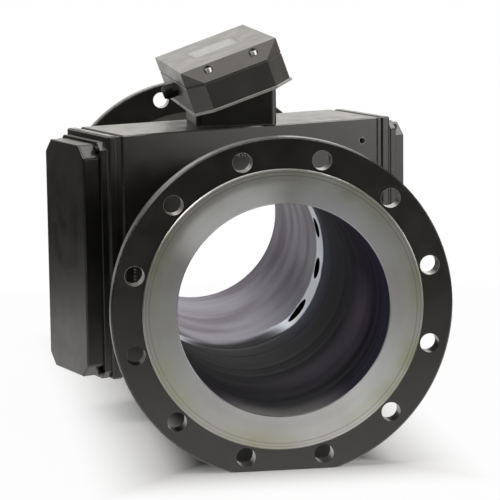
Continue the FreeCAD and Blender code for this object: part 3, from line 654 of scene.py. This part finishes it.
class Rule(Nodes):
    """One geometry node tree, with named inputs for its sizes."""

    def __init__(self, name, inputs):
        super().__init__(bpy.data.node_groups.new(name, "GeometryNodeTree"))
        self.socket("Geometry", "Geometry")
        self.sockets = {label: self.socket(label, kind) for label, kind in inputs.items()}
        self.socket("Geometry", "Geometry", "OUTPUT")
        self.given = self.add("NodeGroupInput").outputs

    def socket(self, label, kind, side="INPUT"):
        return self.tree.interface.new_socket(label, in_out=side, socket_type="NodeSocket" + kind)

    def close(self, geometry):
        """Ends the tree with real geometry that carries its finish."""
        real = self.add("GeometryNodeRealizeInstances", {"Geometry": geometry}).outputs[0]
        dressed = {"Geometry": real, "Material": self.given["Finish"]}
        self.add("NodeGroupOutput", {0: self.add("GeometryNodeSetMaterial", dressed).outputs[0]})

    def run(self, name, start, values):
        """The plain mesh that the tree makes from a starting mesh."""
        maker = add_object(name, start)
        modifier = maker.modifiers.new(name, "NODES")
        modifier.node_group = self.tree
        for label, value in values.items():
            modifier[self.sockets[label].identifier] = value
        return finished_mesh(maker, name)


def path_mesh(name, paths):
    """A mesh of bare edges along paths, each a list of points and whether it closes on itself."""
    points = []
    edges = []
    for path, closed in paths:
        first = len(points)
        points += path
        edges += [(first + k, first + k + 1) for k in range(len(path) - 1)]
        if closed:
            edges.append((len(points) - 1, first))
    mesh = bpy.data.meshes.new(name)
    mesh.from_pydata(points, edges, [])
    return mesh


def weld_rule():
    """A rippled round bead along a path."""
    sizes = {"Ripple Step": "Float", "Bead Radius": "Float", "Seed": "Int", "Finish": "Material"}
    rule = Rule("rippled_weld", sizes)
    curve = rule.add("GeometryNodeMeshToCurve", {"Mesh": rule.given["Geometry"]}).outputs[0]
    steps = {"Curve": curve, "Length": rule.given["Ripple Step"]}
    even = rule.add("GeometryNodeResampleCurve", steps, mode="LENGTH").outputs[0]
    place = rule.add("GeometryNodeInputIndex").outputs[0]
    wave = rule.maths("SINE", rule.times(place, 2 * math.pi / POINTS_PER_RIPPLE))
    ripple = rule.maths("FLOOR", rule.times(place, 1 / POINTS_PER_RIPPLE))
    spread = {"ID": ripple, "Seed": rule.given["Seed"], 2: 0.90, 3: 1.06}
    uneven = rule.add("FunctionNodeRandomValue", spread, data_type="FLOAT").outputs[1]
    swell = rule.times(uneven, rule.maths("ADD", 1.0, rule.times(wave, 0.07)))
    round_bead = {"Resolution": 8, "Radius": rule.given["Bead Radius"]}
    ring = rule.add("GeometryNodeCurvePrimitiveCircle", round_bead).outputs[0]
    sweep = {"Curve": even, "Profile Curve": ring, "Scale": swell, "Fill Caps": True}
    bead = rule.add("GeometryNodeCurveToMesh", sweep).outputs[0]
    rule.close(rule.add("GeometryNodeSetShadeSmooth", {"Geometry": bead}).outputs[0])
    return rule


def hub_paths():
    """Rings where the tube meets the flanges' hubs."""
    radius = TUBE_RADIUS - HUB_BEAD_SINK
    angles = [2 * math.pi * k / BEAD_STEPS for k in range(BEAD_STEPS)]
    paths = []
    for y in (HUB_LENGTH - HALF_RUN, HALF_RUN - HUB_LENGTH):
        paths.append(([(radius * math.cos(a), y, radius * math.sin(a)) for a in angles], True))
    return paths


def saddle_paths():
    """Lines where the tube goes into the sensor block, ending just short of the block's bottom."""
    reach = math.acos(BLOCK_BOTTOM / TUBE_RADIUS) - 0.02
    paths = []
    for through in (-BLOCK_HALF_WIDTH, BLOCK_HALF_WIDTH):
        line = []
        for k in range(BEAD_STEPS + 1):
            angle = reach * (2 * k / BEAD_STEPS - 1)
            x = TUBE_RADIUS * math.sin(angle)
            y = (through + x * math.sin(SKEW)) / math.cos(SKEW)
            line.append((x, y, TUBE_RADIUS * math.cos(angle)))
        paths.append((line, False))
    return paths


def lay_welds():
    rule = weld_rule()
    for name, paths, radius, seed in (
        ("hub_weld_beads", hub_paths(), HUB_BEAD_RADIUS, 3),
        ("saddle_weld_beads", saddle_paths(), SADDLE_BEAD_RADIUS, 5),
    ):
        values = {"Ripple Step": RIPPLE_STEP, "Bead Radius": radius, "Seed": seed, "Finish": WELD_PAINT}
        add_piece(name, rule.run(name, path_mesh(name, paths), values))


def grip_rule():
    """Straight ribs set round a circle."""
    sizes = {"Ribs": "Int", "Circle Radius": "Float", "Rib Size": "Vector", "Finish": "Material"}
    rule = Rule("grip_ribs", sizes)
    round_cap = {"Vertices": rule.given["Ribs"], "Radius": rule.given["Circle Radius"]}
    circle = rule.add("GeometryNodeMeshCircle", round_cap).outputs[0]
    rib = rule.add("GeometryNodeMeshCube", {"Size": rule.given["Rib Size"]}).outputs["Mesh"]
    outward = {"Vector": rule.add("GeometryNodeInputPosition").outputs[0]}
    turn = rule.add("FunctionNodeAlignRotationToVector", outward, axis="X", pivot_axis="Z").outputs[0]
    placed = {"Points": circle, "Instance": rib, "Rotation": turn}
    rule.close(rule.add("GeometryNodeInstanceOnPoints", placed).outputs[0])
    return rule


def rib_gland_cap():
    name = "gland_cap_ribs"
    values = {
        "Ribs": GRIP_RIBS,
        "Circle Radius": GLAND_CAP_RADIUS,
        "Rib Size": GRIP_RIB_SIZE,
        "Finish": GLAND_PLASTIC,
    }
    mesh = grip_rule().run(name, bpy.data.meshes.new(name), values)
    mesh.transform(ON_HEAD @ Matrix.Translation(GLAND_CAP) @ Matrix.Rotation(math.pi / 2, 4, "Y"))
    add_piece(name, mesh)


def fit_display():
    """A blank display in a thin bezel, just under the window."""
    name = "display_panel"
    shape = bmesh.new()
    panel = Matrix.Translation(DISPLAY_CENTRE) @ Matrix.Diagonal((*DISPLAY_SIZE, 1.0))
    bmesh.ops.create_cube(shape, size=1.0, matrix=panel)
    top = max(shape.faces, key=lambda face: face.calc_center_median().z)
    bmesh.ops.inset_region(shape, faces=[top], thickness=BEZEL_WIDTH)
    bmesh.ops.inset_region(shape, faces=[top], thickness=0.0008, depth=-0.0006)
    top.material_index = 1
    shape.transform(ON_HEAD)
    mesh = bpy.data.meshes.new(name)
    shape.to_mesh(mesh)
    shape.free()
    mesh.materials.append(PLASTIC)
    mesh.materials.append(DISPLAY)
    add_piece(name, mesh)


def soften(name, width, is_outer, finish):
    """Puts a copy of a CAD piece, with its outer edges rounded, in the piece's place."""
    shape = bmesh.new()
    shape.from_mesh(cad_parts[name].data)
    bmesh.ops.remove_doubles(shape, verts=shape.verts, dist=0.000002)
    bmesh.ops.dissolve_limit(shape, angle_limit=math.radians(0.5), verts=shape.verts, edges=shape.edges)
    for face in shape.faces:
        face.smooth = False
    weight = shape.edges.layers.float.new("bevel_weight_edge")
    for edge in shape.edges:
        corner = len(edge.link_faces) == 2 and edge.calc_face_angle_signed() > LEAST_CORNER_TURN
        if corner and is_outer(edge):
            edge[weight] = 1.0
    mesh = bpy.data.meshes.new(name + "_sharp")
    shape.to_mesh(mesh)
    shape.free()
    maker = add_object(name + "_sharp", mesh)
    rounding = maker.modifiers.new("rounding", "BEVEL")
    rounding.limit_method = "WEIGHT"
    rounding.width = width
    rounding.segments = 3
    soft = finished_mesh(maker, name + "_softened")
    soft.materials.clear()
    soft.materials.append(finish)
    piece = add_piece(name + "_softened", soft)
    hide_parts(name)


def middle_of(edge):
    return (edge.verts[0].co + edge.verts[1].co) / 2


def head_edge(edge):
    """True for the long outer edges of the head's base and lid."""
    middle = FROM_HEAD @ middle_of(edge)
    across = abs(middle.x)
    along = abs(middle.y)
    outside = across > HEAD_SIDE or along > LID_SLOPE_START or across + along > HEAD_CUT_CORNER
    run = FROM_HEAD.to_3x3() @ (edge.verts[1].co - edge.verts[0].co).normalized()
    return outside and edge.calc_length() > 0.0035 and abs(run.z) < 0.98


def cover_edge(edge):
    """True for the edges round the outer face of a cover, and for those that run out to it."""
    ends = [vertex.co.x * math.cos(SKEW) + vertex.co.y * math.sin(SKEW) for vertex in edge.verts]
    return max(abs(end) for end in ends) > COVER_OUTER_FACE and edge.calc_length() > 0.008


def frame_edge(edge):
    """True for the long outer edges of a side frame."""
    middle = middle_of(edge)
    through = middle.y * math.cos(SKEW) - middle.x * math.sin(SKEW)
    side = abs(through) > BLOCK_HALF_WIDTH - SKIN
    top_or_bottom = middle.z > BLOCK_TOP - SKIN or middle.z < BLOCK_BOTTOM + SKIN
    return (side or top_or_bottom) and edge.calc_length() > 0.010


lay_welds()
rib_gland_cap()
fit_display()
soften("head_base", 0.0012, head_edge, HEAD_PAINT)
soften("head_lid", 0.0015, head_edge, HEAD_PAINT)
soften("left_side_frame", 0.0025, frame_edge, FRAME_PAINT)
soften("right_side_frame", 0.0025, frame_edge, FRAME_PAINT)
soften("left_cover", 0.0022, cover_edge, COVER_PAINT)
soften("right_cover", 0.0022, cover_edge, COVER_PAINT)


# Set, light and camera


def lay_floor():
    sides = (-FLOOR_REACH, FLOOR_REACH)
    corners = [(x, y, FLOOR_HEIGHT) for x in sides for y in sides]
    mesh = bpy.data.meshes.new("floor")
    mesh.from_pydata(corners, [], [(0, 2, 3, 1)])
    mesh.materials.append(floor_finish())
    floor = add_object("floor", mesh)


def light_sky():
    """White behind the object. It lights the object gently, most from behind and from the front right."""
    world = bpy.data.worlds.new("studio")
    bpy.context.scene.world = world
    world.use_nodes = True
    sky = Nodes(world.node_tree)
    sky.tree.nodes.clear()
    where = sky.add("ShaderNodeTexCoord").outputs["Generated"]

    def level(side, start, end, low, high):
        """Goes from low to high as the view turns to a side."""
        turned = sky.add("ShaderNodeVectorMath", {0: where, 1: side}, operation="DOT_PRODUCT")
        return sky.fade(turned.outputs["Value"], start, end, low, high)

    back = sky.times(level(BRIGHT_BACK, 0.60, 0.90, 0.06, 1.0), level(UP, 0.14, 0.32, 0.78, 1.7))
    brightest = sky.larger(back, level(BRIGHT_FRONT_RIGHT, 0.82, 0.98, 0.06, 1.0))
    light = sky.add("ShaderNodeBackground", {"Color": WARM_WHITE, "Strength": brightest}).outputs[0]
    white = sky.add("ShaderNodeBackground", {"Color": grey(1.0)}).outputs[0]
    sky.add("ShaderNodeOutputWorld", {"Surface": sky.either(sky.seen(), light, white)})


def hang_softbox(name, place, aim, width, height, watts):
    lamp = bpy.data.lights.new(name, "AREA")
    lamp.shape = "RECTANGLE"
    lamp.size = width
    lamp.size_y = height
    lamp.energy = watts
    lamp.color = WARM_WHITE[:3]
    box = add_object(name, lamp)
    box.location = place
    box.rotation_euler = (Vector(aim) - Vector(place)).to_track_quat("-Z", "Y").to_euler()
    box.visible_camera = False


def set_camera():
    azimuth = -0.158507
    elevation = 0.161146
    roll = -0.0119765
    distance = 3.0879
    target = Vector((-0.0451, -0.450, 0.08292))
    flat = math.cos(elevation)
    back = Vector((math.sin(azimuth) * flat, -math.cos(azimuth) * flat, math.sin(elevation)))
    right = Vector((math.cos(azimuth), math.sin(azimuth), 0.0))
    up = back.cross(right)
    turned_right = right * math.cos(roll) + up * math.sin(roll)
    turned_up = up * math.cos(roll) - right * math.sin(roll)
    lens = bpy.data.cameras.new("camera")
    lens.sensor_width = 36.0
    lens.lens = 169.16
    lens.clip_end = 200.0
    camera = add_object("camera", lens)
    turn = Matrix((turned_right, turned_up, back)).transposed().to_4x4()
    camera.matrix_world = Matrix.Translation(target + back * distance) @ turn
    bpy.context.scene.camera = camera


lay_floor()
light_sky()
hang_softbox("overhead_softbox", (-0.35, -0.1, 2.4), (0, 0, 0), 1.6, 1.6, 14.0)
hang_softbox("upper_left_softbox", (-1.65, -0.6, 1.7), (0, -0.2, 0), 0.9, 0.9, 15.0)
hang_softbox("upper_right_softbox", (1.2, 0.0, 2.1), (0, 0, 0.1), 0.9, 0.9, 19.0)
hang_softbox("right_softbox", (2.45, -1.10, 0.5), (0.1, 0, 0.1), 1.2, 1.0, 18.0)
hang_softbox("back_softbox", (0.70, 3.2, 0.44), (0, 0, 0.2), 1.6, 0.34, 2.4)
set_camera()
bpy.context.scene.view_settings.view_transform = "Standard"
